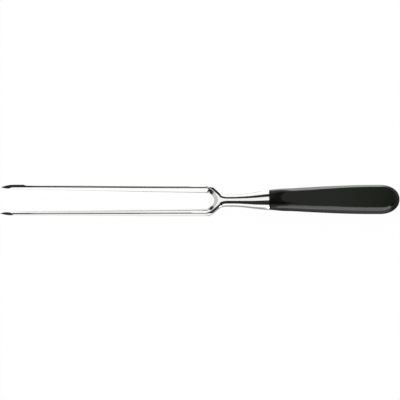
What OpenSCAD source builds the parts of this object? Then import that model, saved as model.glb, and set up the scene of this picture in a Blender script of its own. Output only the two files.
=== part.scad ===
// A two-tined flesh fork: one steel forging whose hidden tang is cemented into a black handle.
// X runs along the fork, with the points towards -X. Y runs across the tines, and Z is up.
// The origin lies under the middle of the fork, on the surface that the handle's lower flat rests on.

/* [Tines] */
// Length of the tines, from the points to the bottom of the crotch
tine_len = 180; // [140:1:220]
// Width across the outside of both tines at their roots
tine_span = 26.8; // [24:0.2:32]
// Width of one tine at its root
tine_root_w = 6.6; // [5.4:0.1:8]
// Width of one tine where its point begins
tine_tip_w = 2.9; // [2.2:0.1:3.8]
// Thickness of one tine at its root
tine_root_t = 7; // [5.6:0.1:8]
// Thickness of one tine where its point begins
tine_tip_t = 3; // [2.2:0.1:3.6]
// Distance between the two points
point_spread = 21.8; // [19:0.1:25]
// Length of the ground point
point_len = 9.5; // [6:0.5:14]
// Share of a tine's width that lies outside its crest
crest_share = 0.4; // [0.32:0.01:0.6]
// Size of the crest's rounding towards the inside
crest_round = 1.4; // [0.6:0.1:2.4]
// Length of the facet ground on the outside of the point at +Y
far_facet = 24; // [10:1:40]
// Length of the facet ground on the outside of the point at -Y
near_facet = 11; // [10:1:40]

/* [Yoke and neck] */
// Length of the sloping shoulders
shoulder_len = 13.2; // [11:0.2:18]
// How far the shoulders start ahead of the bottom of the crotch
shoulder_lead = 5.3; // [4:0.1:6.6]
// Width of the bevel round the bottom of the crotch
crotch_bevel = 3.4; // [2.4:0.1:4.4]
// How much narrower the bevel is halfway up the crotch
crotch_dip = 1.2; // [0:0.1:1.6]
// Thickness of the yoke just behind the crotch
yoke_t = 7.4; // [6:0.1:8.4]
// How far the yoke's faces fall at their edges
crown_drop = 0.6; // [0.2:0.1:1.2]
// Width of the edge over which they fall
crown_edge = 1.65; // [0.8:0.05:3]
// Length of the even part of the neck
neck_len = 7.4; // [2:0.2:14]
// Width of the neck
neck_w = 10.4; // [8.6:0.1:12]
// Thickness of the neck
neck_t = 7.6; // [6.4:0.1:10]

/* [Bolster] */
// Length of the flare from the neck to the handle
bolster_len = 31.7; // [24:0.1:44]
// Width of the bolster where it meets the handle
bolster_w = 17.2; // [15:0.1:20]
// Thickness of the bolster where it meets the handle
bolster_t = 12.6; // [11:0.1:15]
// Slope of the flare where it meets the handle
flare_slope = 0.1; // [0:0.01:0.2]
// Broken edge on both sides of the seam between bolster and handle
edge_break = 0.4; // [0.2:0.05:0.8]

/* [Handle] */
// Length of the handle
handle_len = 110; // [90:1:140]
// Greatest width of the handle
handle_w = 24.4; // [21:0.2:30]
// Thickness across the two flats
handle_t = 17.2; // [15:0.1:20]
// Length over which the oval front swells to the round grip
front_len = 20; // [12:0.5:30]
// Fullness of the section where the flats begin, which is 2 on an oval
front_power = 2.6; // [2:0.1:3.6]
// Slope of the sides where they leave the bolster
side_slope = 0.055; // [0.02:0.005:0.1]
// Length of the even stretch at the widest place
belly_len = 5; // [0:0.5:15]
// Length of the rounded butt
butt_len = 16.4; // [12:0.2:22]

/* [Tang] */
// Width of the tang at the bolster
tang_w = 7; // [5:0.1:8]
// Width of the tang at its end
tang_end_w = 4.6; // [3.4:0.1:5]
// Thickness of the tang
tang_t = 4.4; // [3:0.1:5]
// Radius of the notches that key the tang into the cement
notch_r = 0.8; // [0.4:0.1:1.2]
// Cement between the tang's corners and the bore
cement_gap = 0.4; // [0.2:0.1:0.8]
// Cement between the tang's end and the bottom of the bore
cement_end = 4; // [1:0.5:8]
// Solid handle left behind the bore
butt_wall = 22; // [16:1:40]

/* [Hidden] */

// Lengths and places along the fork
stem_len = shoulder_len - shoulder_lead + neck_len + bolster_len;
total_len = tine_len + stem_len + handle_len;
tip_x = -total_len / 2;
point_x = tip_x + point_len;
crotch_x = tip_x + tine_len;
crotch_r = tine_span / 2 - tine_root_w;
root_x = crotch_x - crotch_r;
shoulder_x = crotch_x - shoulder_lead;
neck_x = shoulder_x + shoulder_len;
bolster_x = neck_x + neck_len;
seam_x = bolster_x + bolster_len;
axis_z = handle_t / 2;

// The last section that has two limbs meets the shoulder at this share of its slope
yoke_share = 0.85;
yoke_x = shoulder_x + yoke_share * shoulder_len;

// The yoke's plate turns into the oval neck from a share of the shoulder to a share of the neck
round_start_share = 0.62;
round_end_share = 0.35;
round_start = shoulder_x + round_start_share * shoulder_len;
round_end = neck_x + round_end_share * neck_len;

// Tang, bore and cement
bore_depth = handle_len - butt_wall;
tang_len = bore_depth - cement_end;
bore_d = sqrt(tang_w * tang_w + tang_t * tang_t) + 2 * cement_gap;
tang_root = 3;
notch_pairs = 3;
notch_pitch = tang_len / (notch_pairs + 1);

// Fullness of the ground point, seen from above and from the side, and of the rounded butt
point_width_power = 1.8;
point_thickness_power = 1.4;
butt_power = 2.1;

// A ground facet is whole over the first share of its length, and the sections reach past its end
facet_whole = 0.85;
facet_reach = 1.2;

// Shares of the half thickness that stand upright under a facet and under the crotch's bevel
facet_upright = 0.8;
crotch_upright = 0.5;

// Fullness of a ridge's lower edge, and the spread of the points over its flank
ridge_edge = 0.85;
ridge_spread = 1.5;

// The tine opens into the yoke's plate over this share of the fan
opening_share = 1 / 3;

// Sections: steps round half a limb, and along each stretch
side_steps = 8;
arc_steps = 2 * side_steps;
point_steps = 6;
facet_steps = 8;
tine_steps = 5;
fan_steps = 18;
yoke_steps = 5;
neck_steps = 4;
flare_steps = 14;
grip_sides = 48;
grip_steps = 26;
butt_steps = 12;

// A cut runs this far past the face that it leaves
past = 1;

// Blending
function mix(a, b, t) = a + (b - a) * t;
function ease(t) = t <= 0 ? 0 : t >= 1 ? 1 : t * t * (3 - 2 * t);
function share(x, from, to) = (x - from) / (to - from);

// A cubic from a to b over length len, with the given slopes at its ends
function cubic(a, b, len, slope_a, slope_b, t) =
    mix(a, b, ease(t))
    + len * slope_a * t * (1 - t) * (1 - t)
    - len * slope_b * t * t * (1 - t);

// Outline of one tine, seen from above
function tine_outer(x) =
    mix(point_spread / 2 + tine_tip_w / 2, tine_span / 2, min(1, share(x, point_x, root_x)));
function tine_inner(x) =
    mix(point_spread / 2 - tine_tip_w / 2, crotch_r, share(x, point_x, root_x));
function tine_half_t(x) = mix(tine_tip_t, tine_root_t, share(x, point_x, root_x)) / 2;

// The outer edge of the yoke slopes in from the tine to the neck
function outer_edge(x) =
    mix(tine_outer(x), neck_w / 2, ease(share(x, shoulder_x, neck_x)));

// Half width and half thickness of the flaring bolster
function flare(neck, end, t) = cubic(neck / 2, end / 2, bolster_len, 0, flare_slope, t);

// A side is the upper half of one side of a section, as shares of its width and half thickness
// at points from the crest to the edge. The sines of their turns are these.
sines = [for (i = [0 : side_steps]) sin(90 * i / side_steps)];
oval = [for (s = sines) [s, sqrt(1 - s * s)]];

// A face that falls to its edge over an upright wall: its fullness is 1 on a plane bevel
function walled(fullness, upright) =
    [for (s = sines) [pow(s, 2 / fullness), mix(1 - s * s, 1, upright)]];
faceted = walled(1, facet_upright);
bevelled = walled(1, crotch_upright);

// The inside of a tine: a straight flank under a crest whose rounding has the same size everywhere
function ridge_side(width) =
    let (small = crest_round / width)
    [
        for (s = sines)
            let (
                w = pow(s, ridge_spread),
                fall = (norm([w, small]) - small) / (norm([1, small]) - small)
            )
            [w, pow(max(0, 1 - fall), ridge_edge)]
    ];

// The yoke's plate is level up to its falling edge, and turns into the oval neck
function plate_side(width, half_t, x) =
    mix(
        walled(width / crown_edge, 1 - crown_drop / half_t),
        oval,
        ease(share(x, round_start, round_end))
    );

// A section is its crest, outer edge and inner edge, seen from above, its half thickness,
// and its outer and inner sides. Sections of a tine's point taper to its tip.
function tine_section(x, facet) =
    let (
        behind = x - tip_x,
        taper = behind / point_len,
        centre = point_spread / 2,
        half_w = taper < 1 ? (1 - pow(1 - taper, point_width_power)) * tine_tip_w / 2 : 0,
        outer = taper < 1 ? centre + half_w : outer_edge(x),
        inner = taper < 1 ? centre - half_w : tine_inner(x),
        half_t = taper < 1 ? pow(taper, point_thickness_power) * tine_tip_t / 2 : tine_half_t(x),
        crest = mix(outer, inner, crest_share),
        unground = min(1, max(0, share(behind / facet, facet_whole, 1)))
    )
    [
        [x, crest],
        [x, outer],
        [x, inner],
        half_t,
        mix(faceted, oval, unground),
        ridge_side(crest - inner)
    ];

// Sections of the yoke fan round the crotch, until the inner edges of both limbs meet at Y = 0.
function fan_section(t) =
    let (
        turn = 90 * (1 - t),
        spoke = [cos(turn), sin(turn)],
        root = [root_x, 0],
        inset = mix((1 - crest_share) * tine_root_w, crotch_bevel, t) - crotch_dip * sin(180 * t),
        outer_x = mix(root_x, yoke_x, spoke.x),
        crest = root + (crotch_r + inset) * spoke,
        outer = [outer_x, outer_edge(outer_x)],
        half_t = mix(tine_root_t, yoke_t, ease(t)) / 2,
        opening = ease(t / opening_share)
    )
    [
        crest,
        outer,
        root + crotch_r * spoke,
        half_t,
        mix(oval, plate_side(norm(outer - crest), half_t, outer_x), opening),
        mix(ridge_side(inset), bevelled, opening)
    ];

function yoke_section(t) =
    let (
        outer_x = mix(yoke_x, neck_x, t),
        crest = [mix(crotch_x + crotch_bevel, neck_x, t), 0],
        outer = [outer_x, outer_edge(outer_x)],
        half_t = mix(yoke_t, neck_t, ease(t)) / 2
    )
    [crest, outer, undef, half_t, plate_side(norm(outer - crest), half_t, outer_x)];

function neck_section(t) =
    let (x = mix(neck_x, bolster_x, t))
    [[x, 0], [x, neck_w / 2], undef, neck_t / 2, plate_side(neck_w / 2, neck_t / 2, x)];

function bolster_section(t, inset = 0) =
    let (x = mix(bolster_x, seam_x - edge_break, t) + inset)
    [
        [x, 0],
        [x, flare(neck_w, bolster_w, t) - inset],
        undef,
        flare(neck_t, bolster_t, t) - inset,
        oval
    ];

// Places of the sections along a tine, which are close together on its point and its facet
function limb_places(facet) =
    let (facet_x = tip_x + max(point_len + past, facet_reach * facet))
    concat(
        [for (i = [1 : point_steps]) mix(tip_x, point_x, i / point_steps)],
        [for (i = [1 : facet_steps]) mix(point_x, facet_x, i / facet_steps)],
        [for (i = [1 : tine_steps]) mix(facet_x, root_x, i / tine_steps)]
    );
function limb_sections(facet) = concat(
    [for (x = limb_places(facet)) tine_section(x, facet)],
    [for (i = [1 : fan_steps]) fan_section(i / fan_steps)]
);
stem_sections = concat(
    [for (i = [1 : yoke_steps]) yoke_section(i / yoke_steps)],
    [for (i = [1 : neck_steps]) neck_section(i / neck_steps)],
    [for (i = [1 : flare_steps]) bolster_section(i / flare_steps)],
    [bolster_section(1, edge_break)]
);

// Points of one side of a section, from the crest over the edge to the crest below
function side_point(side, i) =
    i == side_steps ? [1, 0] : i < side_steps ? side[i] : [side[arc_steps - i].x, -side[arc_steps - i].y];
function section_arc(section, edge, side, steps) = [
    for (i = steps)
        let (
            point = side_point(side, i),
            place = mix(section[0], edge, point.x)
        )
        [place.x, place.y, axis_z + section[3] * point.y]
];
function outer_arc(section) = section_arc(section, section[1], section[4], [0 : arc_steps]);
function inner_arc(section) = section_arc(section, section[2], section[5], [arc_steps - 1 : -1 : 1]);

// One half of the fork, whose limb rings are closed and whose stem rings end at Y = 0
limb_ring = 2 * arc_steps;
stem_ring = arc_steps + 1;
last_limb = point_steps + facet_steps + tine_steps + fan_steps - 1;
last_stem = last_limb + len(stem_sections);
half_count = (last_limb + 1) * limb_ring + len(stem_sections) * stem_ring;
function half_points(facet) = concat(
    [for (section = limb_sections(facet)) each concat(outer_arc(section), inner_arc(section))],
    [for (section = stem_sections) each outer_arc(section)]
);

// Both halves share the points on Y = 0
function ring_start(k) =
    k <= last_limb ? k * limb_ring : (last_limb + 1) * limb_ring + (k - last_limb - 1) * stem_ring;
function on_middle(k, i) =
    k > last_limb ? (i == 0 || i == arc_steps) : k == last_limb && (i == 0 || i >= arc_steps);
function point_index(half, k, i) =
    ring_start(k) + i + (half == 1 && !on_middle(k, i) ? half_count : 0);

// The faces of one half turn the other way round on the mirrored half
function facing(half, face) = half == 0 ? face : [face[0], face[2], face[1]];
function strip_faces(half, k, i, next) =
    let (
        a = point_index(half, k, i),
        b = point_index(half, k, next),
        c = point_index(half, k + 1, next),
        d = point_index(half, k + 1, i)
    )
    [facing(half, [a, b, c]), facing(half, [a, c, d])];

function half_faces(half) = concat(
    [
        for (i = [0 : limb_ring - 1])
            let (next = (i + 1) % limb_ring)
            facing(half, [2 * half_count + half, point_index(half, 0, next), point_index(half, 0, i)])
    ],
    [
        for (k = [0 : last_limb - 1])
            for (i = [0 : limb_ring - 1])
                each strip_faces(half, k, i, (i + 1) % limb_ring)
    ],
    [
        for (k = [last_limb : last_stem - 1])
            for (i = [0 : arc_steps - 1])
                each strip_faces(half, k, i, i + 1)
    ]
);
end_face = concat(
    [for (i = [0 : arc_steps]) point_index(0, last_stem, i)],
    [for (i = [arc_steps - 1 : -1 : 1]) point_index(1, last_stem, i)]
);

// The forging from its two points to the seam: the two limbs run together into one stem
module fork_body() {
    far = half_points(far_facet);
    near = [for (p = half_points(near_facet)) [p.x, -p.y, p.z]];
    tips = [for (side = [1, -1]) [tip_x, side * point_spread / 2, axis_z]];
    polyhedron(
        points = concat(far, near, tips),
        faces = concat(half_faces(0), half_faces(1), [end_face]),
        convexity = 4
    );
}

// The tang tapers to its end, and pairs of round notches key it into the cement
module tang() {
    translate([seam_x, 0, axis_z - tang_t / 2])
        linear_extrude(tang_t)
            difference() {
                polygon([
                    [-tang_root, -tang_w / 2],
                    [0, -tang_w / 2],
                    [tang_len, -tang_end_w / 2],
                    [tang_len, tang_end_w / 2],
                    [0, tang_w / 2],
                    [-tang_root, tang_w / 2]
                ]);
                for (i = [1 : notch_pairs], side = [-1, 1])
                    translate([i * notch_pitch, side * mix(tang_w, tang_end_w, i * notch_pitch / tang_len) / 2])
                        circle(r = notch_r, $fn = 32);
            }
}

// The blind bore that takes the tang, from its bottom to a plane ahead of the seam
module bore(ahead) {
    translate([seam_x - ahead, 0, axis_z])
        rotate([0, 90, 0])
            cylinder(d = bore_d, h = bore_depth + ahead, $fn = 64);
}

// Half width of the handle at a distance behind the seam, with its butt rounded off
butt_start = handle_len - butt_len;
belly_start = butt_start - belly_len;
function grip_half_w(s) =
    s < belly_start
        ? cubic(bolster_w / 2, handle_w / 2, belly_start, side_slope, 0, s / belly_start)
        : handle_w / 2 * pow(1 - pow(max(0, share(s, butt_start, handle_len)), butt_power), 1 / butt_power);

// Thickness over width: an oval like the bolster's end at the seam, round behind the front
function grip_aspect(s) =
    1 - (1 - bolster_t / bolster_w) * pow(max(0, 1 - s / front_len), 2);

// Power of the section: it fills out to the middle of the front, and is an oval again at its end
function grip_power(s) =
    mix(2, front_power, ease(2 * s / front_len) * (1 - ease(2 * s / front_len - 1)));
function powered(value, power) = sign(value) * pow(abs(value), 2 / power);

function grip_ring(s, inset = 0) =
    let (
        half_w = grip_half_w(s),
        half_t = half_w * grip_aspect(s),
        power = grip_power(s)
    )
    [
        for (i = [0 : grip_sides - 1])
            let (turn = 360 * (i + 0.5) / grip_sides)
            [
                seam_x + s - inset,
                (half_w - inset) * powered(sin(turn), power),
                axis_z + (half_t - inset) * powered(cos(turn), power)
            ]
    ];

// The handle as turned, before its flats are cut
module handle_blank() {
    steps = concat(
        [for (i = [0 : grip_steps]) mix(edge_break, butt_start, i / grip_steps)],
        [for (i = [1 : butt_steps - 1]) mix(butt_start, handle_len, sin(90 * i / butt_steps))]
    );
    rings = concat([grip_ring(edge_break, edge_break)], [for (s = steps) grip_ring(s)]);
    last = len(rings) - 1;
    butt = len(rings) * grip_sides;
    sides = [
        for (k = [0 : last - 1])
            for (i = [0 : grip_sides - 1])
                let (
                    next = (i + 1) % grip_sides,
                    a = k * grip_sides + i,
                    b = k * grip_sides + next,
                    c = b + grip_sides,
                    d = a + grip_sides
                )
                each [[a, b, c], [a, c, d]]
    ];
    front = [for (i = [grip_sides - 1 : -1 : 0]) i];
    back = [
        for (i = [0 : grip_sides - 1])
            [last * grip_sides + i, last * grip_sides + (i + 1) % grip_sides, butt]
    ];
    polyhedron(
        points = concat([for (ring = rings) each ring], [[seam_x + handle_len, 0, axis_z]]),
        faces = concat(sides, [front], back),
        convexity = 2
    );
}

module fork_forging() {
    color("gainsboro")
        union() {
            fork_body();
            tang();
        }
}

module handle() {
    color([0.13, 0.15, 0.13])
        difference() {
            intersection() {
                handle_blank();
                translate([seam_x - past, -handle_w, 0])
                    cube([handle_len + 2 * past, 2 * handle_w, handle_t]);
            }
            bore(past);
        }
}

module tang_cement() {
    color("tan")
        difference() {
            bore(0);
            tang();
        }
}

fork_forging();
handle();
tang_cement();
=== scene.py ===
"""A two-tined flesh fork: a mirror-polished steel forging, cemented into a black plastic handle.

X runs along the fork with the points towards -X, Y runs across the tines and Z is up.
Lengths are in metres.
"""

from __future__ import annotations

import logging
import math
from dataclasses import dataclass
from enum import IntEnum
from typing import Any, Callable

import bmesh
import bpy
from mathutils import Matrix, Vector

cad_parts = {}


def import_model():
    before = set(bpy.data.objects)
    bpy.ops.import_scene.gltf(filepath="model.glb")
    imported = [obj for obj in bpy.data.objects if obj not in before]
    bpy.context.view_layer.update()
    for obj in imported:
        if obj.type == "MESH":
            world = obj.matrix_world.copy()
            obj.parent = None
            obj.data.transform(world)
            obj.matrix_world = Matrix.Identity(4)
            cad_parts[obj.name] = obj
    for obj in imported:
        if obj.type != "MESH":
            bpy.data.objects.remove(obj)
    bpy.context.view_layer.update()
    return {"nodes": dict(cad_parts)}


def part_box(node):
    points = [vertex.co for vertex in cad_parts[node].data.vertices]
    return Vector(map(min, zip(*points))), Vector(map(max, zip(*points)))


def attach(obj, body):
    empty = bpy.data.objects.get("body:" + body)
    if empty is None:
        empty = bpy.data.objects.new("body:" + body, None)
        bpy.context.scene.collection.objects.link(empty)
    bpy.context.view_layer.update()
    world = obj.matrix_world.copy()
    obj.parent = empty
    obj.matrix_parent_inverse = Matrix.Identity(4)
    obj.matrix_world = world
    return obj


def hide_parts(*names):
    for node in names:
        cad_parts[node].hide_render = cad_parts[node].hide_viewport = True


MM = 0.001
Pair = tuple[float, float]
Material = bpy.types.Material
Piece = bpy.types.Object
Socket = bpy.types.NodeSocket
Tree = bpy.types.NodeTree
LOG = logging.getLogger("flesh_fork")
WHITE = "#ffffff"
# Points nearer to each other than this count as one.
TOUCH = 0.001 * MM
# Noise seldom leaves this range.
NOISE_RANGE = (0.3, 0.7)
# The power at which a rounded outline is an oval.
OVAL_POWER = 2.0


def mix(low: Any, high: Any, share: float) -> Any:
    """Blends two numbers or vectors: the first at a share of 0, the second at a share of 1."""
    return low + (high - low) * share


def evenly(start: float, end: float, steps: int) -> list[float]:
    """Lists evenly spaced numbers, both ends among them."""
    return [mix(start, end, step / steps) for step in range(steps + 1)]


def ease(share: float) -> float:
    """Holds a share between 0 and 1, and smooths it so that it starts and ends level."""
    held = min(1.0, max(0.0, share))
    return held * held * (3.0 - 2.0 * held)


def cubic(start: float, end: float, length: float, slopes: Pair, share: float) -> float:
    """Follows a cubic curve with given slopes at both ends.

    Args:
        start: The height at the start.
        end: The height at the end.
        length: The length that the curve spans.
        slopes: The slopes at the start and at the end.
        share: Where on the length, from 0 to 1.

    Returns:
        The height there.
    """
    rising = length * slopes[0] * share * (1.0 - share) ** 2
    falling = length * slopes[1] * share**2 * (1.0 - share)
    return mix(start, end, ease(share)) + rising - falling


def powered(value: float, power: float) -> float:
    """Raises the size of a number to a power and keeps its sign."""
    return math.copysign(abs(value) ** power, value)


def linear(colour: str) -> tuple[float, float, float, float]:
    """Turns an sRGB hex colour into linear light.

    Args:
        colour: A colour such as "#1a2b3c".

    Returns:
        Red, green, blue and an alpha of 1.
    """
    shares = [int(colour[start : start + 2], 16) / 255.0 for start in (1, 3, 5)]
    red, green, blue = (s / 12.92 if s <= 0.04045 else ((s + 0.055) / 1.055) ** 2.4 for s in shares)
    return red, green, blue, 1.0


class MixSocket(IntEnum):
    """The numbers of the colour sockets on a Mix node."""

    SHARE = 0
    LOW = 6
    HIGH = 7
    RESULT = 2


def add_node(tree: Tree, kind: str, links: dict[Any, Any], **settings: Any) -> bpy.types.Node:
    """Adds a shader node with its settings and its inputs.

    Args:
        tree: The node tree that takes the node.
        kind: The node's type, without its common first part.
        links: For each input's name or number, a socket to link or a value to set.
        **settings: Properties of the node.

    Returns:
        The new node.
    """
    node = tree.nodes.new("ShaderNode" + kind)
    for name, value in settings.items():
        setattr(node, name, value)
    for name, value in links.items():
        if isinstance(value, Socket):
            tree.links.new(value, node.inputs[name])
        else:
            node.inputs[name].default_value = value
    return node


def new_material(name: str) -> tuple[Material, Tree]:
    """Makes a material with an empty node tree.

    Args:
        name: The material's name.

    Returns:
        The material and its node tree.
    """
    material = bpy.data.materials.new(name)
    material.use_nodes = True
    material.node_tree.nodes.clear()
    return material, material.node_tree


@dataclass(frozen=True)
class Finish:
    """A finish: a colour mottled with another, and where asked for, a lined gloss and a wavy skin."""

    name: str
    colours: tuple[str, str]
    spot_size: float
    roughness: Pair
    spot_detail: float = 2.0
    # The length of a line along the fork, and the pitch of the lines.
    line_size: Pair | None = None
    line_detail: float = 2.0
    metallic: float = 0.0
    specular: float = 0.5
    # The size of a wave, and its depth.
    wave_size: Pair | None = None

    def material(self) -> Material:
        """Builds the finish's shader.

        Returns:
            The material.
        """
        material, tree = new_material(self.name)
        place = add_node(tree, "TexCoord", {}).outputs["Object"]
        mottle = {"Vector": place, "Scale": 1.0 / self.spot_size, "Detail": self.spot_detail}
        spots = add_node(tree, "TexNoise", mottle).outputs["Fac"]
        low, high = (linear(colour) for colour in self.colours)
        layers = {MixSocket.SHARE: spots, MixSocket.LOW: low, MixSocket.HIGH: high}
        inputs = {
            "Base Color": add_node(tree, "Mix", layers, data_type="RGBA").outputs[MixSocket.RESULT],
            "Metallic": self.metallic,
            "Specular IOR Level": self.specular,
            "Roughness": self.roughness[0],
        }
        if self.line_size is not None:
            length, pitch = self.line_size
            scale = (1.0 / length, 1.0 / pitch, 1.0 / pitch)
            stretched = add_node(tree, "Mapping", {"Vector": place, "Scale": scale}).outputs[0]
            fine = {"Vector": stretched, "Scale": 1.0, "Detail": self.line_detail}
            spans = {
                "Value": add_node(tree, "TexNoise", fine).outputs["Fac"],
                "From Min": NOISE_RANGE[0],
                "From Max": NOISE_RANGE[1],
                "To Min": self.roughness[0],
                "To Max": self.roughness[1],
            }
            inputs["Roughness"] = add_node(tree, "MapRange", spans).outputs[0]
        if self.wave_size is not None:
            size, depth = self.wave_size
            waves = add_node(tree, "TexNoise", {"Vector": place, "Scale": 1.0 / size}).outputs["Fac"]
            skin = add_node(tree, "Bump", {"Height": waves, "Distance": depth, "Strength": 1.0})
            inputs["Normal"] = skin.outputs[0]
        shader = add_node(tree, "BsdfPrincipled", inputs)
        add_node(tree, "OutputMaterial", {"Surface": shader.outputs[0]})
        return material


@dataclass(frozen=True)
class PolishedSteel(Finish):
    """Stainless steel, forged, ground lengthwise and buffed to a mirror.

    The eye sees sharp reflections of the room, drawn out a little by polishing lines along the fork.
    """

    name: str = "mirror_polished_stainless_steel"
    colours: tuple[str, str] = ("#f2f2f1", "#eaeae8")
    spot_size: float = 14.0 * MM
    roughness: Pair = (0.05, 0.11)
    # Real polishing lines are some 0.05 mm apart. They are drawn coarser, so that they show.
    line_size: Pair | None = (60.0 * MM, 0.8 * MM)
    line_detail: float = 3.0
    metallic: float = 1.0


@dataclass(frozen=True)
class BlackPlastic(Finish):
    """Black thermoplastic, moulded over a polished cavity and lightly scuffed by use.

    The eye sees a deep black with a faint green cast, soft-edged reflections and a slightly wavy skin.
    """

    name: str = "polished_black_plastic"
    colours: tuple[str, str] = ("#0b0d0a", "#11130f")
    spot_size: float = 5.0 * MM
    roughness: Pair = (0.14, 0.24)
    spot_detail: float = 4.0
    # Fine scratches are under 0.1 mm wide. They are drawn coarser, so that they show.
    line_size: Pair | None = (12.0 * MM, 0.9 * MM)
    specular: float = 0.22
    wave_size: Pair | None = (3.0 * MM, 0.01 * MM)


@dataclass(frozen=True)
class CuredCement(Finish):
    """Mineral-filled resin, poured round the tang and set hard: a dull, speckled tan."""

    name: str = "cured_resin_cement"
    colours: tuple[str, str] = ("#8f8775", "#b9ae98")
    spot_size: float = 0.6 * MM
    roughness: Pair = (0.85, 0.85)


def pick(piece: Piece, *others: Piece) -> None:
    """Selects pieces and nothing else.

    Args:
        piece: The piece that becomes the active one.
        *others: Further pieces to select.
    """
    bpy.ops.object.select_all(action="DESELECT")
    for each in (piece, *others):
        each.select_set(True)
    bpy.context.view_layer.objects.active = piece


def leave_edit_mode() -> None:
    """Turns all faces outwards and leaves edit mode."""
    bpy.ops.mesh.select_all(action="SELECT")
    bpy.ops.mesh.normals_make_consistent(inside=False)
    bpy.ops.object.mode_set(mode="OBJECT")


def apply_modifier(piece: Piece, kind: str, **settings: Any) -> None:
    """Adds a modifier to a piece and applies it.

    Args:
        piece: The piece, in object mode.
        kind: The modifier's type.
        **settings: Properties of the modifier.
    """
    pick(piece)
    modifier = piece.modifiers.new(kind.lower(), kind)
    for name, value in settings.items():
        setattr(modifier, name, value)
    bpy.ops.object.modifier_apply(modifier=modifier.name)


def shade(piece: Piece, crease: float) -> None:
    """Smooths a piece's shading up to a crease angle in degrees."""
    pick(piece)
    bpy.ops.object.shade_smooth_by_angle(angle=math.radians(crease))


def dress(piece: Piece, material: Material) -> None:
    """Gives a piece its one material."""
    piece.data.materials.clear()
    piece.data.materials.append(material)


class RingLoft:
    """A mesh drawn as by hand: a circle is added, and each next ring is extruded from the last one."""

    def __init__(self, name: str, ring: list[Vector]) -> None:
        """Adds the circle and shapes it as the first ring.

        Args:
            name: The piece's name.
            ring: The points of the first ring, in order.
        """
        bpy.ops.object.select_all(action="DESELECT")
        radius = max((point - ring[0]).length for point in ring) / 2.0
        bpy.ops.mesh.primitive_circle_add(vertices=len(ring), radius=radius, fill_type="NOTHING")
        self.piece: Piece = bpy.context.object
        self.piece.name = name
        self.piece.data.name = name
        self.row = 0
        bpy.ops.object.mode_set(mode="EDIT")
        mesh = bmesh.from_edit_mesh(self.piece.data)
        mesh.verts.layers.int.new("row")
        step = mesh.verts.layers.int.new("step")
        for number, vert in enumerate(mesh.verts):
            vert[step] = number
        self._place(ring)

    def _place(self, ring: list[Vector]) -> None:
        """Moves the selected ring to its points.

        Args:
            ring: The ring's points, in order.
        """
        mesh = bmesh.from_edit_mesh(self.piece.data)
        row, step = mesh.verts.layers.int["row"], mesh.verts.layers.int["step"]
        for vert in mesh.verts:
            if vert.select:
                vert.co = ring[vert[step]]
                vert[row] = self.row
        bmesh.update_edit_mesh(self.piece.data)

    def extend(self, ring: list[Vector]) -> None:
        """Extrudes the selected ring and moves the new one to its points.

        Args:
            ring: The new ring's points, in order.
        """
        self.row += 1
        bpy.ops.mesh.extrude_region_move()
        self._place(ring)

    def close(self, point: Vector) -> None:
        """Extrudes the selected ring and draws it together in one point.

        Args:
            point: Where the ring closes.
        """
        bpy.ops.mesh.extrude_region_move()
        bpy.ops.mesh.merge(type="CENTER")
        mesh = bmesh.from_edit_mesh(self.piece.data)
        row = mesh.verts.layers.int["row"]
        for vert in mesh.verts:
            if vert.select:
                vert.co = point
                vert[row] = -1
        bmesh.update_edit_mesh(self.piece.data)

    def select(self, row: int, steps: range) -> None:
        """Selects part of a ring.

        Args:
            row: The ring's number.
            steps: The points of the ring to select.
        """
        bpy.ops.mesh.select_all(action="DESELECT")
        mesh = bmesh.from_edit_mesh(self.piece.data)
        row_of, step_of = mesh.verts.layers.int["row"], mesh.verts.layers.int["step"]
        for vert in mesh.verts:
            vert.select = vert[row_of] == row and vert[step_of] in steps
        mesh.select_flush(True)
        bmesh.update_edit_mesh(self.piece.data)

    def finish(self) -> Piece:
        """Turns the faces outwards and leaves edit mode.

        Returns:
            The finished piece.
        """
        leave_edit_mode()
        for layer in ("row", "step"):
            self.piece.data.attributes.remove(self.piece.data.attributes[layer])
        return self.piece


def oval(sine: float) -> Vector:
    """Draws a quarter of an oval section."""
    return Vector((sine, math.sqrt(max(0.0, 1.0 - sine**2))))


def ridged(sine: float, crest_round: float) -> Vector:
    """Draws a ridge: a straight flank under a rounded crest, down to a rounded edge.

    Args:
        sine: The sine of the turn from the crest to the edge.
        crest_round: The size of the crest's rounding, as a share of the width.

    Returns:
        The shares of the width and of the half thickness.
    """
    edge_round, spread = 0.85, 1.5
    width = sine**spread
    fall = (math.hypot(width, crest_round) - crest_round) / (math.hypot(1.0, crest_round) - crest_round)
    return Vector((width, max(0.0, 1.0 - fall) ** edge_round))


def walled(sine: float, fullness: float, upright: float) -> Vector:
    """Draws a face over an upright wall, plane at a fullness of 1 and crowned at more."""
    return Vector((sine ** (2.0 / fullness), mix(1.0 - sine**2, 1.0, upright)))


@dataclass(frozen=True)
class Side:
    """The upper half of one side of a cross-section, as points from its crest to its edge."""

    points: tuple[Vector, ...]

    @classmethod
    def drawn(cls, shape: Callable[..., Vector], steps: int, **form: float) -> Side:
        """Draws a side in even turns, by a function that gives a point for the sine of the turn."""
        turns = (math.pi / 2.0 * step / steps for step in range(steps + 1))
        return cls(tuple(shape(math.sin(turn), **form) for turn in turns))

    def blend(self, other: Side, share: float) -> Side:
        """Mixes this side with another, which is all there is at a share of 1."""
        return Side(tuple(mix(low, high, share) for low, high in zip(self.points, other.points)))

    def point(self, step: int) -> Vector:
        """Finds a point on the way from the upper crest over the edge to the lower crest.

        Args:
            step: The number of the step, up to twice the steps that the side was drawn in.

        Returns:
            The shares of the width and of the half thickness.
        """
        edge = len(self.points) - 1
        if step == edge:
            return Vector((1.0, 0.0))
        if step < edge:
            return self.points[step]
        upper = self.points[2 * edge - step]
        return Vector((upper.x, -upper.y))


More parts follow.
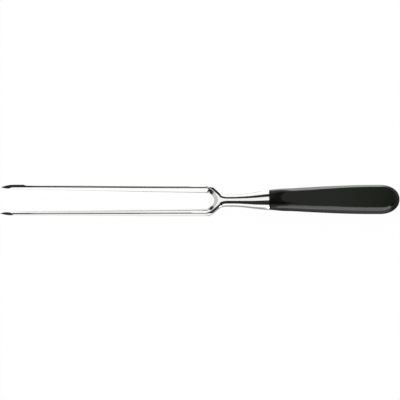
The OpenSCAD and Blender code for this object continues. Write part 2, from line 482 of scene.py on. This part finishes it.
@dataclass(frozen=True)
class Section:
    """A cross-section of one limb: its crest and edges, seen from above, and its half thickness."""

    crest: Vector
    outer: Vector
    half_t: float
    outer_side: Side
    inner: Vector | None = None
    inner_side: Side | None = None

    def ring(self, axis_z: float, steps: int, hand: float) -> list[Vector]:
        """Lists the section's points, down over the outer edge and up over the inner one.

        Args:
            axis_z: The height of the fork's axis.
            steps: The number of steps from the upper crest to the lower one.
            hand: 1 for the limb at +Y and -1 for the one at -Y.

        Returns:
            The points, which end at the lower crest if there is no inner edge.
        """
        route = [(self.outer, self.outer_side, step) for step in range(steps + 1)]
        if self.inner is not None and self.inner_side is not None:
            route += [(self.inner, self.inner_side, step) for step in range(steps - 1, 0, -1)]
        points = []
        for edge, side, step in route:
            width, height = side.point(step)
            place = mix(self.crest, edge, width)
            points.append(Vector((place.x, hand * place.y, axis_z + self.half_t * height)))
        return points


@dataclass
class ForkForging:
    """The steel forging: two tines that run together in a yoke, a neck, a bolster and a hidden tang."""

    tip_x: float
    seam_x: float
    axis_z: float
    tang_len: float
    tine_len: float = 180.4 * MM
    tine_span: float = 26.8 * MM
    tine_root_w: float = 6.6 * MM
    tine_tip_w: float = 3.65 * MM
    tine_root_t: float = 7.0 * MM
    tine_tip_t: float = 3.0 * MM
    crest_share: float = 0.32
    crest_round: float = 1.0 * MM
    point_spread: float = 22.85 * MM
    point_len: float = 9.5 * MM
    point_width_power: float = 1.8
    point_thickness_power: float = 1.4
    # The points are ground by hand, so the two facets aren't equally long.
    facet_len: Pair = (27.0 * MM, 13.0 * MM)
    facet_upright: float = 0.8
    # A facet is ground full over this share of its length, and its rings reach past its end.
    facet_full: float = 0.75
    facet_reach: float = 1.2
    shoulder_len: float = 13.2 * MM
    shoulder_lead: float = 5.7 * MM
    yoke_share: float = 0.85
    # How many times faster than the yoke's fan the ridge opens into the plate.
    opening_rate: float = 3.0
    round_start: float = 0.62
    round_end: float = 0.35
    crotch_bevel: float = 3.4 * MM
    crotch_dip: float = 1.2 * MM
    crotch_upright: float = 0.5
    yoke_t: float = 7.4 * MM
    crown_drop: float = 0.6 * MM
    crown_edge: float = 1.65 * MM
    neck_w: float = 10.4 * MM
    neck_t: float = 7.6 * MM
    bolster_len: float = 31.7 * MM
    bolster_w: float = 17.2 * MM
    bolster_t: float = 12.6 * MM
    flare_slope: float = 0.1
    edge_break: float = 0.4 * MM
    tang_w: float = 7.0 * MM
    tang_end_w: float = 4.6 * MM
    tang_t: float = 4.4 * MM
    tang_root: float = 3.0 * MM
    notch_r: float = 0.8 * MM
    notch_pairs: int = 3
    # The forging isn't quite straight: its points lean to one side and its neck to the other. The
    # lean fades on the last part of the bolster, and some of it is left at the seam.
    bow_at_points: float = 0.26 * MM
    bow_at_neck: float = -0.65 * MM
    bow_fade_start: float = 0.5
    bow_left_at_seam: float = 0.4
    side_steps: int = 12
    point_steps: int = 12
    facet_steps: int = 12
    tine_steps: int = 12
    fan_steps: int = 36
    yoke_steps: int = 10
    neck_steps: int = 8
    flare_steps: int = 26
    notch_steps: int = 8
    crease: float = 24.0

    def __post_init__(self) -> None:
        """Works out the places along the fork and draws the sides of its sections."""
        self.point_x = self.tip_x + self.point_len
        self.crotch_x = self.tip_x + self.tine_len
        self.crotch_r = self.tine_span / 2.0 - self.tine_root_w
        self.root_x = self.crotch_x - self.crotch_r
        self.shoulder_x = self.crotch_x - self.shoulder_lead
        self.neck_x = self.shoulder_x + self.shoulder_len
        self.yoke_x = mix(self.shoulder_x, self.neck_x, self.yoke_share)
        self.bolster_x = self.seam_x - self.bolster_len
        self.oval = Side.drawn(oval, self.side_steps)
        self.faceted = Side.drawn(walled, self.side_steps, fullness=1.0, upright=self.facet_upright)
        self.bevelled = Side.drawn(walled, self.side_steps, fullness=1.0, upright=self.crotch_upright)

    def outer_edge(self, x: float) -> float:
        """Gives the half width of the fork's outline ahead of the bolster.

        Args:
            x: The place along the fork.

        Returns:
            The distance from the axis to the outer edge.
        """
        share = min(1.0, (x - self.point_x) / (self.root_x - self.point_x))
        tine = mix(self.point_spread / 2.0 + self.tine_tip_w / 2.0, self.tine_span / 2.0, share)
        slope = ease((x - self.shoulder_x) / self.shoulder_len)
        return mix(tine, self.neck_w / 2.0, slope)

    def rounding(self, x: float) -> float:
        """Gives the share by which the yoke's plate has turned into the oval neck.

        Args:
            x: The place along the fork where a section meets the outline.

        Returns:
            A share from 0 to 1.
        """
        start = mix(self.shoulder_x, self.neck_x, self.round_start)
        end = mix(self.neck_x, self.bolster_x, self.round_end)
        return ease((x - start) / (end - start))

    def ridge_side(self, crest: Vector, edge: Vector) -> Side:
        """Draws the side of a tine's ridge, whose crest has the same size everywhere."""
        return Side.drawn(ridged, self.side_steps, crest_round=self.crest_round / (edge - crest).length)

    def plate_side(self, crest: Vector, outer: Vector, half_t: float) -> Side:
        """Draws the side of the yoke's plate: level, with an edge of the same size everywhere.

        Args:
            crest: The section's crest, seen from above.
            outer: The section's outer edge, seen from above.
            half_t: The section's half thickness.

        Returns:
            The side, which has turned into an oval where the neck is.
        """
        fullness = (outer - crest).length / self.crown_edge
        upright = 1.0 - self.crown_drop / half_t
        crowned = Side.drawn(walled, self.side_steps, fullness=fullness, upright=upright)
        return crowned.blend(self.oval, self.rounding(outer.x))

    def tine_section(self, x: float, facet_len: float) -> Section:
        """Gives a section of the tine or of its ground point.

        Args:
            x: The place along the fork.
            facet_len: The length of the facet ground on the outside of the point.

        Returns:
            The section.
        """
        share = (x - self.point_x) / (self.root_x - self.point_x)
        outer = self.outer_edge(x)
        inner = mix(self.point_spread / 2.0 - self.tine_tip_w / 2.0, self.crotch_r, share)
        half_t = mix(self.tine_tip_t, self.tine_root_t, share) / 2.0
        behind = x - self.tip_x
        if behind < self.point_len:
            taper = behind / self.point_len
            half_w = (1.0 - (1.0 - taper) ** self.point_width_power) * self.tine_tip_w / 2.0
            outer = self.point_spread / 2.0 + half_w
            inner = self.point_spread / 2.0 - half_w
            half_t = taper**self.point_thickness_power * self.tine_tip_t / 2.0
        unground = (behind / facet_len - self.facet_full) / (1.0 - self.facet_full)
        crest = Vector((x, mix(outer, inner, self.crest_share)))
        inner_place = Vector((x, inner))
        return Section(
            crest=crest,
            outer=Vector((x, outer)),
            half_t=half_t,
            outer_side=self.faceted.blend(self.oval, min(1.0, max(0.0, unground))),
            inner=inner_place,
            inner_side=self.ridge_side(crest, inner_place),
        )

    def fan_section(self, share: float) -> Section:
        """Gives a section of the yoke, where sections fan round the crotch.

        The ridge of the tine opens into the yoke's plate early on the fan.

        Args:
            share: The share of the quarter turn from the tine's root to the middle plane.

        Returns:
            The section.
        """
        turn = math.pi / 2.0 * (1.0 - share)
        spoke = Vector((math.cos(turn), math.sin(turn)))
        root = Vector((self.root_x, 0.0))
        inset = mix((1.0 - self.crest_share) * self.tine_root_w, self.crotch_bevel, share)
        inset -= self.crotch_dip * math.sin(math.pi * share)
        outer_x = mix(self.root_x, self.yoke_x, spoke.x)
        opening = ease(self.opening_rate * share)
        crest = root + (self.crotch_r + inset) * spoke
        outer = Vector((outer_x, self.outer_edge(outer_x)))
        inner = root + self.crotch_r * spoke
        half_t = mix(self.tine_root_t, self.yoke_t, ease(share)) / 2.0
        return Section(
            crest=crest,
            outer=outer,
            half_t=half_t,
            outer_side=self.oval.blend(self.plate_side(crest, outer, half_t), opening),
            inner=inner,
            inner_side=self.ridge_side(crest, inner).blend(self.bevelled, opening),
        )

    def yoke_section(self, share: float) -> Section:
        """Gives a half section behind the crotch, where both limbs are one.

        Args:
            share: The share of the way from the crotch to the neck.

        Returns:
            The half section.
        """
        outer_x = mix(self.yoke_x, self.neck_x, share)
        crest = Vector((mix(self.crotch_x + self.crotch_bevel, self.neck_x, share), 0.0))
        outer = Vector((outer_x, self.outer_edge(outer_x)))
        half_t = mix(self.yoke_t, self.neck_t, ease(share)) / 2.0
        return Section(crest, outer, half_t, self.plate_side(crest, outer, half_t))

    def neck_section(self, share: float) -> Section:
        """Gives a half section of the even neck.

        Args:
            share: The share of the way from the yoke to the bolster.

        Returns:
            The half section.
        """
        x = mix(self.neck_x, self.bolster_x, share)
        crest = Vector((x, 0.0))
        outer = Vector((x, self.neck_w / 2.0))
        half_t = self.neck_t / 2.0
        return Section(crest, outer, half_t, self.plate_side(crest, outer, half_t))

    def bolster_section(self, share: float, inset: float = 0.0) -> Section:
        """Gives a half section of the flaring bolster.

        Args:
            share: The share of the way from the neck to the seam.
            inset: How far the section is drawn in, for the broken edge at the seam.

        Returns:
            The half section.
        """
        x = mix(self.bolster_x, self.seam_x - self.edge_break, share) + inset
        slopes = (0.0, self.flare_slope)
        half_w = cubic(self.neck_w / 2.0, self.bolster_w / 2.0, self.bolster_len, slopes, share)
        half_t = cubic(self.neck_t / 2.0, self.bolster_t / 2.0, self.bolster_len, slopes, share)
        return Section(Vector((x, 0.0)), Vector((x, half_w - inset)), half_t - inset, self.oval)

    def build(self) -> Piece:
        """Models both halves of the forging ring by ring, joins them and adds the tang.

        Returns:
            The finished piece.
        """
        far = self._half("steel_forging", 1.0, self.facet_len[0])
        near = self._half("near_half", -1.0, self.facet_len[1])
        pick(far, near)
        bpy.ops.object.join()
        self._close_end()
        self._add_tang(far)
        self._set_bow(far)
        shade(far, self.crease)
        return far

    def _half(self, name: str, hand: float, facet_len: float) -> Piece:
        """Models one half of the forging, from its point to the seam.

        Args:
            name: The half's name.
            hand: 1 for the half at +Y and -1 for the one at -Y.
            facet_len: The length of the facet ground on the outside of the point.

        Returns:
            The half, which is open at the middle plane and at the seam.
        """
        arc_steps = 2 * self.side_steps
        facet_x = max(self.point_x, self.tip_x + self.facet_reach * facet_len)
        places = evenly(self.tip_x, self.point_x, self.point_steps)[1:]
        places += evenly(self.point_x, facet_x, self.facet_steps)[1:]
        places += evenly(facet_x, self.root_x, self.tine_steps)[1:]
        limb = [self.tine_section(x, facet_len) for x in places]
        limb += [self.fan_section(share) for share in evenly(0.0, 1.0, self.fan_steps)[1:]]
        stem = [self.yoke_section(share) for share in evenly(0.0, 1.0, self.yoke_steps)[1:]]
        stem += [self.neck_section(share) for share in evenly(0.0, 1.0, self.neck_steps)[1:]]
        stem += [self.bolster_section(share) for share in evenly(0.0, 1.0, self.flare_steps)[1:]]
        stem.append(self.bolster_section(1.0, self.edge_break))
        loft = RingLoft(name, limb[0].ring(self.axis_z, arc_steps, hand))
        loft.close(Vector((self.tip_x, hand * self.point_spread / 2.0, self.axis_z)))
        loft.select(0, range(2 * arc_steps))
        for section in limb[1:]:
            loft.extend(section.ring(self.axis_z, arc_steps, hand))
        loft.select(loft.row, range(arc_steps + 1))
        for section in stem:
            loft.extend(section.ring(self.axis_z, arc_steps, hand))
        return loft.finish()

    def _close_end(self) -> None:
        """Welds the two joined halves and fills their open end at the seam."""
        bpy.ops.object.mode_set(mode="EDIT")
        bpy.ops.mesh.select_all(action="SELECT")
        bpy.ops.mesh.remove_doubles(threshold=TOUCH)
        bpy.ops.mesh.select_all(action="DESELECT")
        bpy.ops.mesh.select_non_manifold()
        bpy.ops.mesh.edge_face_add()
        leave_edit_mode()

    def _tang_outline(self) -> list[Vector]:
        """Lists the tang's outline, seen from above, with its pairs of round notches.

        Returns:
            The outline's points on the tang's lower face.
        """
        floor_z = self.axis_z - self.tang_t / 2.0
        pitch = self.tang_len / (self.notch_pairs + 1)
        one_side = [(-self.tang_root, self.tang_w / 2.0), (0.0, self.tang_w / 2.0)]
        for number in range(1, self.notch_pairs + 1):
            middle = number * pitch
            half_w = mix(self.tang_w, self.tang_end_w, middle / self.tang_len) / 2.0
            for turn in evenly(0.0, math.pi, self.notch_steps):
                notch_x = middle - self.notch_r * math.cos(turn)
                one_side.append((notch_x, half_w - self.notch_r * math.sin(turn)))
        one_side.append((self.tang_len, self.tang_end_w / 2.0))
        outline = [Vector((self.seam_x + x, -y, floor_z)) for x, y in one_side]
        outline += [Vector((self.seam_x + x, y, floor_z)) for x, y in reversed(one_side)]
        return outline

    def _add_tang(self, piece: Piece) -> None:
        """Models the tang and unites it with the forging.

        Args:
            piece: The closed forging.
        """
        loft = RingLoft("tang", self._tang_outline())
        bpy.ops.mesh.edge_face_add()
        bpy.ops.mesh.extrude_region_move(TRANSFORM_OT_translate={"value": (0.0, 0.0, self.tang_t)})
        tang = loft.finish()
        apply_modifier(piece, "BOOLEAN", operation="UNION", solver="EXACT", object=tang)
        bpy.data.objects.remove(tang)

    def _set_bow(self, piece: Piece) -> None:
        """Bows the forging sideways by less than a millimetre.

        Args:
            piece: The forging with its tang.
        """
        fade_x = mix(self.bolster_x, self.seam_x, self.bow_fade_start)
        for vert in piece.data.vertices:
            rootwards = ease((vert.co.x - self.point_x) / (self.root_x - self.point_x))
            seamwards = ease((vert.co.x - fade_x) / (self.seam_x - fade_x))
            bow = mix(self.bow_at_points, self.bow_at_neck, rootwards)
            vert.co.y += bow * mix(1.0, self.bow_left_at_seam, seamwards)


@dataclass
class Handle:
    """The black handle: a turned grip with two flats, a full front and a blind bore for the tang."""

    seam_x: float
    butt_x: float
    low_z: float
    high_z: float
    bore_end_x: float
    bore_d: float
    front_w: float = 17.2 * MM
    front_t: float = 12.6 * MM
    handle_w: float = 24.75 * MM
    front_len: float = 20.0 * MM
    front_power: float = 2.6
    side_slope: float = 0.055
    belly_len: float = 5.0 * MM
    butt_len: float = 16.4 * MM
    butt_power: float = 2.1
    edge_break: float = 0.4 * MM
    flat_edge: float = 0.12 * MM
    flat_edge_steps: int = 3
    # Points within this many widths of a flat's broken edge are welded onto its rim.
    rim_reach: float = 3.0
    cut_gap: float = 0.0001 * MM
    sides: int = 72
    front_steps: int = 26
    grip_steps: int = 24
    butt_steps: int = 22
    crease: float = 40.0

    def __post_init__(self) -> None:
        """Works out the places along the handle, behind the seam, and the turns round it."""
        self.length = self.butt_x - self.seam_x
        self.axis_z = (self.low_z + self.high_z) / 2.0
        self.butt_start = self.length - self.butt_len
        self.belly_start = self.butt_start - self.belly_len
        self.turns = [math.tau * (side + 0.5) / self.sides for side in range(self.sides)]

    def half_width(self, behind: float) -> float:
        """Gives the handle's half width.

        Args:
            behind: The distance behind the seam.

        Returns:
            The half width there.
        """
        if behind < self.belly_start:
            share = behind / self.belly_start
            slopes = (self.side_slope, 0.0)
            return cubic(self.front_w / 2.0, self.handle_w / 2.0, self.belly_start, slopes, share)
        share = max(0.0, (behind - self.butt_start) / self.butt_len)
        return self.handle_w / 2.0 * (1.0 - share**self.butt_power) ** (1.0 / self.butt_power)

    def ring(self, behind: float, inset: float = 0.0) -> list[Vector]:
        """Lists the points of the handle as turned, before its flats.

        The front is an oval like the bolster's end. It fills out to the middle of its length and is
        round at the end of it.

        Args:
            behind: The distance behind the seam.
            inset: How far the ring is drawn in, for the broken edge at the seam.

        Returns:
            The ring's points.
        """
        front = behind / self.front_len
        half_w = self.half_width(behind)
        half_t = half_w * (1.0 - (1.0 - self.front_t / self.front_w) * max(0.0, 1.0 - front) ** 2)
        halves = 2.0 * front
        fullness = ease(halves) * (1.0 - ease(halves - 1.0))
        power = OVAL_POWER / mix(OVAL_POWER, self.front_power, fullness)
        points = []
        for turn in self.turns:
            y = (half_w - inset) * powered(math.sin(turn), power)
            rise = (half_t - inset) * powered(math.cos(turn), power)
            points.append(Vector((self.seam_x + behind - inset, y, self.axis_z + rise)))
        return points

    def bore_ring(self, x: float) -> list[Vector]:
        """Lists the points of the bore's edge.

        Args:
            x: The place along the handle.

        Returns:
            The circle's points.
        """
        radius = self.bore_d / 2.0
        arms = [(radius * math.sin(turn), radius * math.cos(turn)) for turn in self.turns]
        return [Vector((x, y, self.axis_z + rise)) for y, rise in arms]

    def build(self) -> Piece:
        """Models the handle ring by ring, cuts its flats and breaks their edges.

        Returns:
            The finished piece.
        """
        places = evenly(self.edge_break, self.front_len, self.front_steps)[:-1]
        places += evenly(self.front_len, self.butt_start, self.grip_steps)[:-1]
        for turn in evenly(0.0, math.pi / 2.0, self.butt_steps)[:-1]:
            places.append(mix(self.butt_start, self.length, math.sin(turn)))
        loft = RingLoft("handle_grip", self.bore_ring(self.bore_end_x))
        bpy.ops.mesh.edge_face_add()
        loft.select(0, range(self.sides))
        bpy.ops.mesh.select_mode(type="EDGE")
        bpy.ops.mesh.region_to_loop()
        bpy.ops.mesh.select_mode(type="VERT")
        loft.extend(self.bore_ring(self.seam_x))
        loft.extend(self.ring(self.edge_break, self.edge_break))
        for behind in places:
            loft.extend(self.ring(behind))
        loft.close(Vector((self.butt_x, 0.0, self.axis_z)))
        piece = loft.finish()
        self._cut_flats(piece)
        shade(piece, self.crease)
        apply_modifier(piece, "WEIGHTED_NORMAL", keep_sharp=True)
        return piece

    def _cut_flats(self, piece: Piece) -> None:
        """Cuts both flats and breaks their edges.

        Args:
            piece: The handle as turned.
        """
        bpy.ops.object.mode_set(mode="EDIT")
        for level, facing in ((self.high_z, 1.0), (self.low_z, -1.0)):
            bpy.ops.mesh.select_all(action="SELECT")
            bpy.ops.mesh.bisect(
                plane_co=(self.seam_x, 0.0, level),
                plane_no=(0.0, 0.0, facing),
                use_fill=True,
                clear_outer=True,
                threshold=self.cut_gap,
            )
            self._tidy_rim(piece, level)
            self._select_rim(piece, level)
            bpy.ops.mesh.bevel(
                offset=self.flat_edge,
                segments=self.flat_edge_steps,
                affect="EDGES",
                clamp_overlap=False,
            )
        leave_edit_mode()

    def _tidy_rim(self, piece: Piece, level: float) -> None:
        """Welds points that lie too near a flat's rim onto it, so that its edge can be broken.

        Args:
            piece: The handle, in edit mode.
            level: The height of the flat.
        """
        mesh = bmesh.from_edit_mesh(piece.data)
        on_flat = {vert for vert in mesh.verts if abs(vert.co.z - level) < TOUCH}
        welds: dict[bmesh.types.BMVert, bmesh.types.BMVert] = {}
        for edge in sorted(mesh.edges, key=lambda e: e.calc_length()):
            if edge.calc_length() > self.rim_reach * self.flat_edge:
                break
            kept, moved = edge.verts if edge.verts[0] in on_flat else reversed(edge.verts)
            taken = kept in welds or moved in welds or moved in welds.values()
            if kept in on_flat and not taken:
                welds[moved] = kept
        bmesh.ops.weld_verts(mesh, targetmap=welds)
        bmesh.update_edit_mesh(piece.data)

    def _select_rim(self, piece: Piece, level: float) -> None:
        """Selects the edges between a flat and the round of the handle.

        Args:
            piece: The handle, in edit mode.
            level: The height of the flat.
        """
        bpy.ops.mesh.select_all(action="DESELECT")
        bpy.ops.mesh.select_mode(type="EDGE")
        mesh = bmesh.from_edit_mesh(piece.data)
        for edge in mesh.edges:
            on_flat = [all(abs(v.co.z - level) < TOUCH for v in face.verts) for face in edge.link_faces]
            edge.select = on_flat.count(True) == 1
        bmesh.update_edit_mesh(piece.data)


def ray_shares(tree: Tree) -> tuple[Socket, Socket]:
    """Tells what the camera sees from what shiny pieces mirror.

    Args:
        tree: The node tree that takes the nodes.

    Returns:
        The sockets that are 1 for the camera's rays and for mirrored rays.
    """
    rays = add_node(tree, "LightPath", {}).outputs
    shiny = {0: rays["Is Glossy Ray"], 1: rays["Is Transmission Ray"]}
    return rays["Is Camera Ray"], add_node(tree, "Math", shiny, operation="MAXIMUM").outputs[0]


@dataclass(frozen=True)
class LightPanel:
    """A glowing panel, which shiny pieces mirror and the camera doesn't see."""

    name: str
    middle: tuple[float, float, float]
    size: Pair
    tilt: float
    colour: str
    strength: float

    def build(self) -> None:
        """Hangs the panel: level over the fork, or upright beside it if it is tilted."""
        bpy.ops.object.select_all(action="DESELECT")
        bpy.ops.mesh.primitive_plane_add(size=1.0)
        panel = bpy.context.object
        panel.name = self.name
        panel.scale = (self.size[0], self.size[1], 1.0)
        panel.rotation_euler = (math.radians(self.tilt), 0.0, 0.0)
        panel.location = self.middle
        panel.visible_camera = False
        panel.visible_shadow = False
        panel.visible_diffuse = False
        material, tree = new_material("glowing_" + self.name)
        glow = add_node(tree, "Emission", {"Color": linear(self.colour), "Strength": self.strength})
        add_node(tree, "OutputMaterial", {"Surface": glow.outputs[0]})
        dress(panel, material)


@dataclass(frozen=True)
class Studio:
    """The room: a white floor, soft light, and the bright and dark surroundings that metal mirrors."""

    floor_size: float = 6.0
    floor_drop: float = 0.3 * MM
    floor_colour: str = "#f0f0ee"
    floor_glow: float = 0.99
    # Slopes of the light painted on the table, which only metal mirrors: an axis, two places on it and
    # the light at each. Near the fork a painted shade stands for the shadow of its stem and handle.
    # Further away the painted light gets brighter along the handle, most of all behind it, and it is
    # dark at the handle's end.
    table_slopes: tuple[tuple[str, str, float, float, float, float], ...] = (
        ("front_stem", "X", 0.004, 0.016, 0.96, 0.36),
        ("front_handle", "X", 0.055, 0.07, 1.0, 0.1),
        ("front_rise", "Y", -0.012, -0.08, 0.0, 4.0),
        ("front_start", "X", 0.05, 0.065, 0.0, 1.0),
        ("front_end", "X", 0.167, 0.18, 1.0, 0.05),
        ("back_stem", "X", 0.004, 0.016, 0.96, 0.72),
        ("back_handle", "X", 0.065, 0.085, 1.0, 0.2),
        ("back_rise", "Y", 0.014, 0.06, 0.0, 6.0),
        ("back_start", "X", 0.047, 0.062, 0.1, 1.0),
        ("back_end", "X", 0.156, 0.172, 1.0, 0.05),
        ("middle", "Y", -0.002, 0.002, 0.0, 1.0),
        ("past_butt", "X", 0.172, 0.186, 0.0, 0.35),
    )
    # How the slopes of one side of the fork make up the painted light there.
    side_sums: tuple[tuple[str, str, str, str], ...] = (
        ("_near", "_stem", "MULTIPLY", "_handle"),
        ("_far", "_rise", "MULTIPLY", "_start"),
        ("_all", "_near", "ADD", "_far"),
        ("_light", "_all", "MULTIPLY", "_end"),
    )
    even_light: float = 0.25
    key_place: tuple[float, float, float] = (0.1, 0.85, 0.95)
    key_size: float = 0.35
    key_power: float = 14.0
    # Metal mirrors a dark room and not the white backdrop, so that the steel shows its black lines.
    room_colour: str = "#2d2d2b"
    # The wall past the points isn't square to the fork.
    end_wall_colour: str = "#d2d4d3"
    end_wall_facing: tuple[float, float, float] = (1.0, -0.12, 0.0)
    end_wall_reach: Pair = (-0.64, -0.76)
    # The wall past the butt is narrow and off to one side, so that the yoke's shoulders mirror the
    # dark room on both sides of it.
    butt_wall_colour: str = "#a9abaa"
    butt_wall_side: float = 0.2
    butt_wall_slant: float = 0.9
    butt_wall_reach: Pair = (0.12, 0.34)
    # Cards hang close to what mirrors them and panels stand far off. The band card is the strongest,
    # because it draws the white band along the near side of the bolster.
    panels: tuple[LightPanel, ...] = (
        LightPanel("neck_card", (0.037, 0.117, 0.5086), (0.226, 0.286), 0.0, WHITE, 1.06),
        LightPanel("handle_card", (0.183, 0.117, 0.5086), (0.066, 0.286), 0.0, "#def9d8", 1.06),
        LightPanel("tine_card", (-0.0895, 0.0715, 0.1686), (0.147, 0.087), 0.0, WHITE, 0.8),
        LightPanel("yoke_card", (0.0, 0.072, 0.0886), (0.02, 0.084), 0.0, WHITE, 1.1),
        LightPanel("back_panel", (-0.015, 1.0, 0.34), (0.93, 0.68), 90.0, WHITE, 1.15),
        LightPanel("front_panel", (-0.1, -1.0, 0.45), (1.1, 0.9), 90.0, WHITE, 1.15),
        LightPanel("band_card", (0.122, -0.045, 0.0145), (0.138, 0.025), 90.0, WHITE, 5.7),
    )

    def build(self) -> None:
        """Sets up the floor, the surroundings, the panels and the lamp."""
        self._floor()
        self._surroundings()
        for panel in self.panels:
            panel.build()
        self._key()

    def _painted_table_light(self, tree: Tree) -> Socket:
        """Works out the painted light and shade of the table, which only metal mirrors.

        Args:
            tree: The floor's node tree.

        Returns:
            The strength of the painted light.
        """
        point = add_node(tree, "TexCoord", {}).outputs["Object"]
        place = add_node(tree, "SeparateXYZ", {0: point}).outputs
        light: dict[str, Socket] = {}
        for name, axis, start, end, low, high in self.table_slopes:
            spans = {"From Min": start, "From Max": end, "To Min": low, "To Max": high}
            light[name] = add_node(tree, "MapRange", {"Value": place[axis], **spans}).outputs[0]
        for side in ("front", "back"):
            for result, first, operation, second in self.side_sums:
                pair = {0: light[side + first], 1: light[side + second]}
                light[side + result] = add_node(tree, "Math", pair, operation=operation).outputs[0]
        sides = {0: light["middle"], 2: light["front_light"], 3: light["back_light"]}
        both = add_node(tree, "Mix", sides, data_type="FLOAT").outputs[0]
        return add_node(tree, "Math", {0: both, 1: light["past_butt"]}, operation="ADD").outputs[0]

    def _floor(self) -> None:
        """Lays the floor: white with a faint shadow to the camera, and a glow with painted shade to
        metal.
        """
        bpy.ops.object.select_all(action="DESELECT")
        bpy.ops.mesh.primitive_plane_add(size=self.floor_size, location=(0.0, 0.0, -self.floor_drop))
        floor = bpy.context.object
        floor.name = "floor"
        material, tree = new_material("white_floor_with_painted_table_glow")
        camera, mirrored = ray_shares(tree)
        seen = add_node(tree, "Math", {0: camera, 1: self.floor_glow}, operation="MULTIPLY").outputs[0]
        surface = add_node(tree, "BsdfDiffuse", {"Color": linear(self.floor_colour)}).outputs[0]
        # To metal the floor glows with painted light and a painted shadow of the fork's stem and
        # handle.
        for share, strength in ((seen, 1.0), (mirrored, self._painted_table_light(tree))):
            glow = add_node(tree, "Emission", {"Color": linear(WHITE), "Strength": strength}).outputs[0]
            surface = add_node(tree, "MixShader", {0: share, 1: surface, 2: glow}).outputs[0]
        add_node(tree, "OutputMaterial", {"Surface": surface})
        dress(floor, material)

    def _surroundings(self) -> None:
        """Builds the world: white to the camera, a dark room to metal, even light to the rest."""
        world = bpy.data.worlds.new("dark_studio")
        bpy.context.scene.world = world
        world.use_nodes = True
        tree = world.node_tree
        tree.nodes.clear()
        camera, mirrored = ray_shares(tree)
        direction = add_node(tree, "TexCoord", {}).outputs["Generated"]
        facing = {0: direction, 1: self.end_wall_facing}
        endwards = add_node(tree, "VectorMath", facing, operation="DOT_PRODUCT").outputs["Value"]
        parts = add_node(tree, "SeparateXYZ", {0: direction}).outputs
        aside = add_node(tree, "Math", {0: parts["Y"], 1: self.butt_wall_side}, operation="SUBTRACT")
        sideways = add_node(tree, "Math", {0: aside.outputs[0]}, operation="ABSOLUTE")
        slant = {0: sideways.outputs[0], 1: -self.butt_wall_slant, 2: parts["X"]}
        buttwards = add_node(tree, "Math", slant, operation="MULTIPLY_ADD").outputs[0]
        room: Any = linear(self.room_colour)
        for onwards, reach, colour in (
            (endwards, self.end_wall_reach, self.end_wall_colour),
            (buttwards, self.butt_wall_reach, self.butt_wall_colour),
        ):
            spans = {"Value": onwards, "From Min": reach[0], "From Max": reach[1]}
            wall = add_node(tree, "MapRange", spans, interpolation_type="SMOOTHSTEP").outputs[0]
            layers = {MixSocket.SHARE: wall, MixSocket.LOW: room, MixSocket.HIGH: linear(colour)}
            room = add_node(tree, "Mix", layers, data_type="RGBA").outputs[MixSocket.RESULT]
        light: Any = (self.even_light, self.even_light, self.even_light, 1.0)
        for share, over in ((mirrored, room), (camera, linear(WHITE))):
            layers = {MixSocket.SHARE: share, MixSocket.LOW: light, MixSocket.HIGH: over}
            light = add_node(tree, "Mix", layers, data_type="RGBA").outputs[MixSocket.RESULT]
        backdrop = add_node(tree, "Background", {"Color": light, "Strength": 1.0})
        add_node(tree, "OutputWorld", {"Surface": backdrop.outputs[0]})

    def _key(self) -> None:
        """Hangs the lamp behind the fork, which metal doesn't mirror."""
        data = bpy.data.lights.new("key_lamp", "AREA")
        data.size = self.key_size
        data.energy = self.key_power
        lamp = bpy.data.objects.new("key_lamp", data)
        lamp.location = self.key_place
        lamp.rotation_euler = (-Vector(self.key_place)).to_track_quat("-Z", "Y").to_euler()
        lamp.visible_glossy = False
        bpy.context.scene.collection.objects.link(lamp)


@dataclass
class PhotoCamera:
    """A long lens that looks down on the fork from the side nearest to the viewer."""

    target: Vector
    frame_width: float = 337.8 * MM
    elevation: float = 76.1
    roll: float = 0.17
    lens: float = 150.0
    sensor: float = 36.0

    def build(self) -> None:
        """Makes the camera and points it at the fork."""
        data = bpy.data.cameras.new("photo_camera")
        data.lens = self.lens
        data.sensor_width = self.sensor
        camera = bpy.data.objects.new("photo_camera", data)
        bpy.context.scene.collection.objects.link(camera)
        rise = math.radians(self.elevation)
        back = Vector((0.0, -math.cos(rise), math.sin(rise)))
        camera.location = self.target + back * (self.frame_width * self.lens / self.sensor)
        camera.rotation_euler = (math.pi / 2.0 - rise, 0.0, 0.0)
        camera.rotation_euler.rotate_axis("Z", math.radians(-self.roll))
        bpy.context.scene.camera = camera


def main() -> None:
    """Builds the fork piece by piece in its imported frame, and sets up the room and the camera."""
    logging.basicConfig(level=logging.INFO, format="%(message)s")
    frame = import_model()
    bpy.context.scene.view_settings.view_transform = "Standard"
    forging_low, forging_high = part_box("fork_forging")
    handle_low, handle_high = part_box("handle")
    cement_low, cement_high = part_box("tang_cement")
    axis_z = (handle_low.z + handle_high.z) / 2.0

    forging = ForkForging(
        tip_x=forging_low.x,
        seam_x=handle_low.x,
        axis_z=axis_z,
        tang_len=forging_high.x - handle_low.x,
    ).build()
    dress(forging, PolishedSteel().material())
    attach(forging, "root")
    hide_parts("fork_forging")
    LOG.info("steel forging: %d faces", len(forging.data.polygons))

    grip = Handle(
        seam_x=handle_low.x,
        butt_x=handle_high.x,
        low_z=handle_low.z,
        high_z=handle_high.z,
        bore_end_x=cement_high.x,
        bore_d=cement_high.y - cement_low.y,
    ).build()
    dress(grip, BlackPlastic().material())
    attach(grip, "root")
    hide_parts("handle")
    LOG.info("handle grip: %d faces", len(grip.data.polygons))

    dress(frame["nodes"]["tang_cement"], CuredCement().material())
    LOG.info("tang cement: keeps its solid")

    Studio().build()
    PhotoCamera(target=Vector((0.0, 0.0, axis_z))).build()


if __name__ == "__main__":
    main()
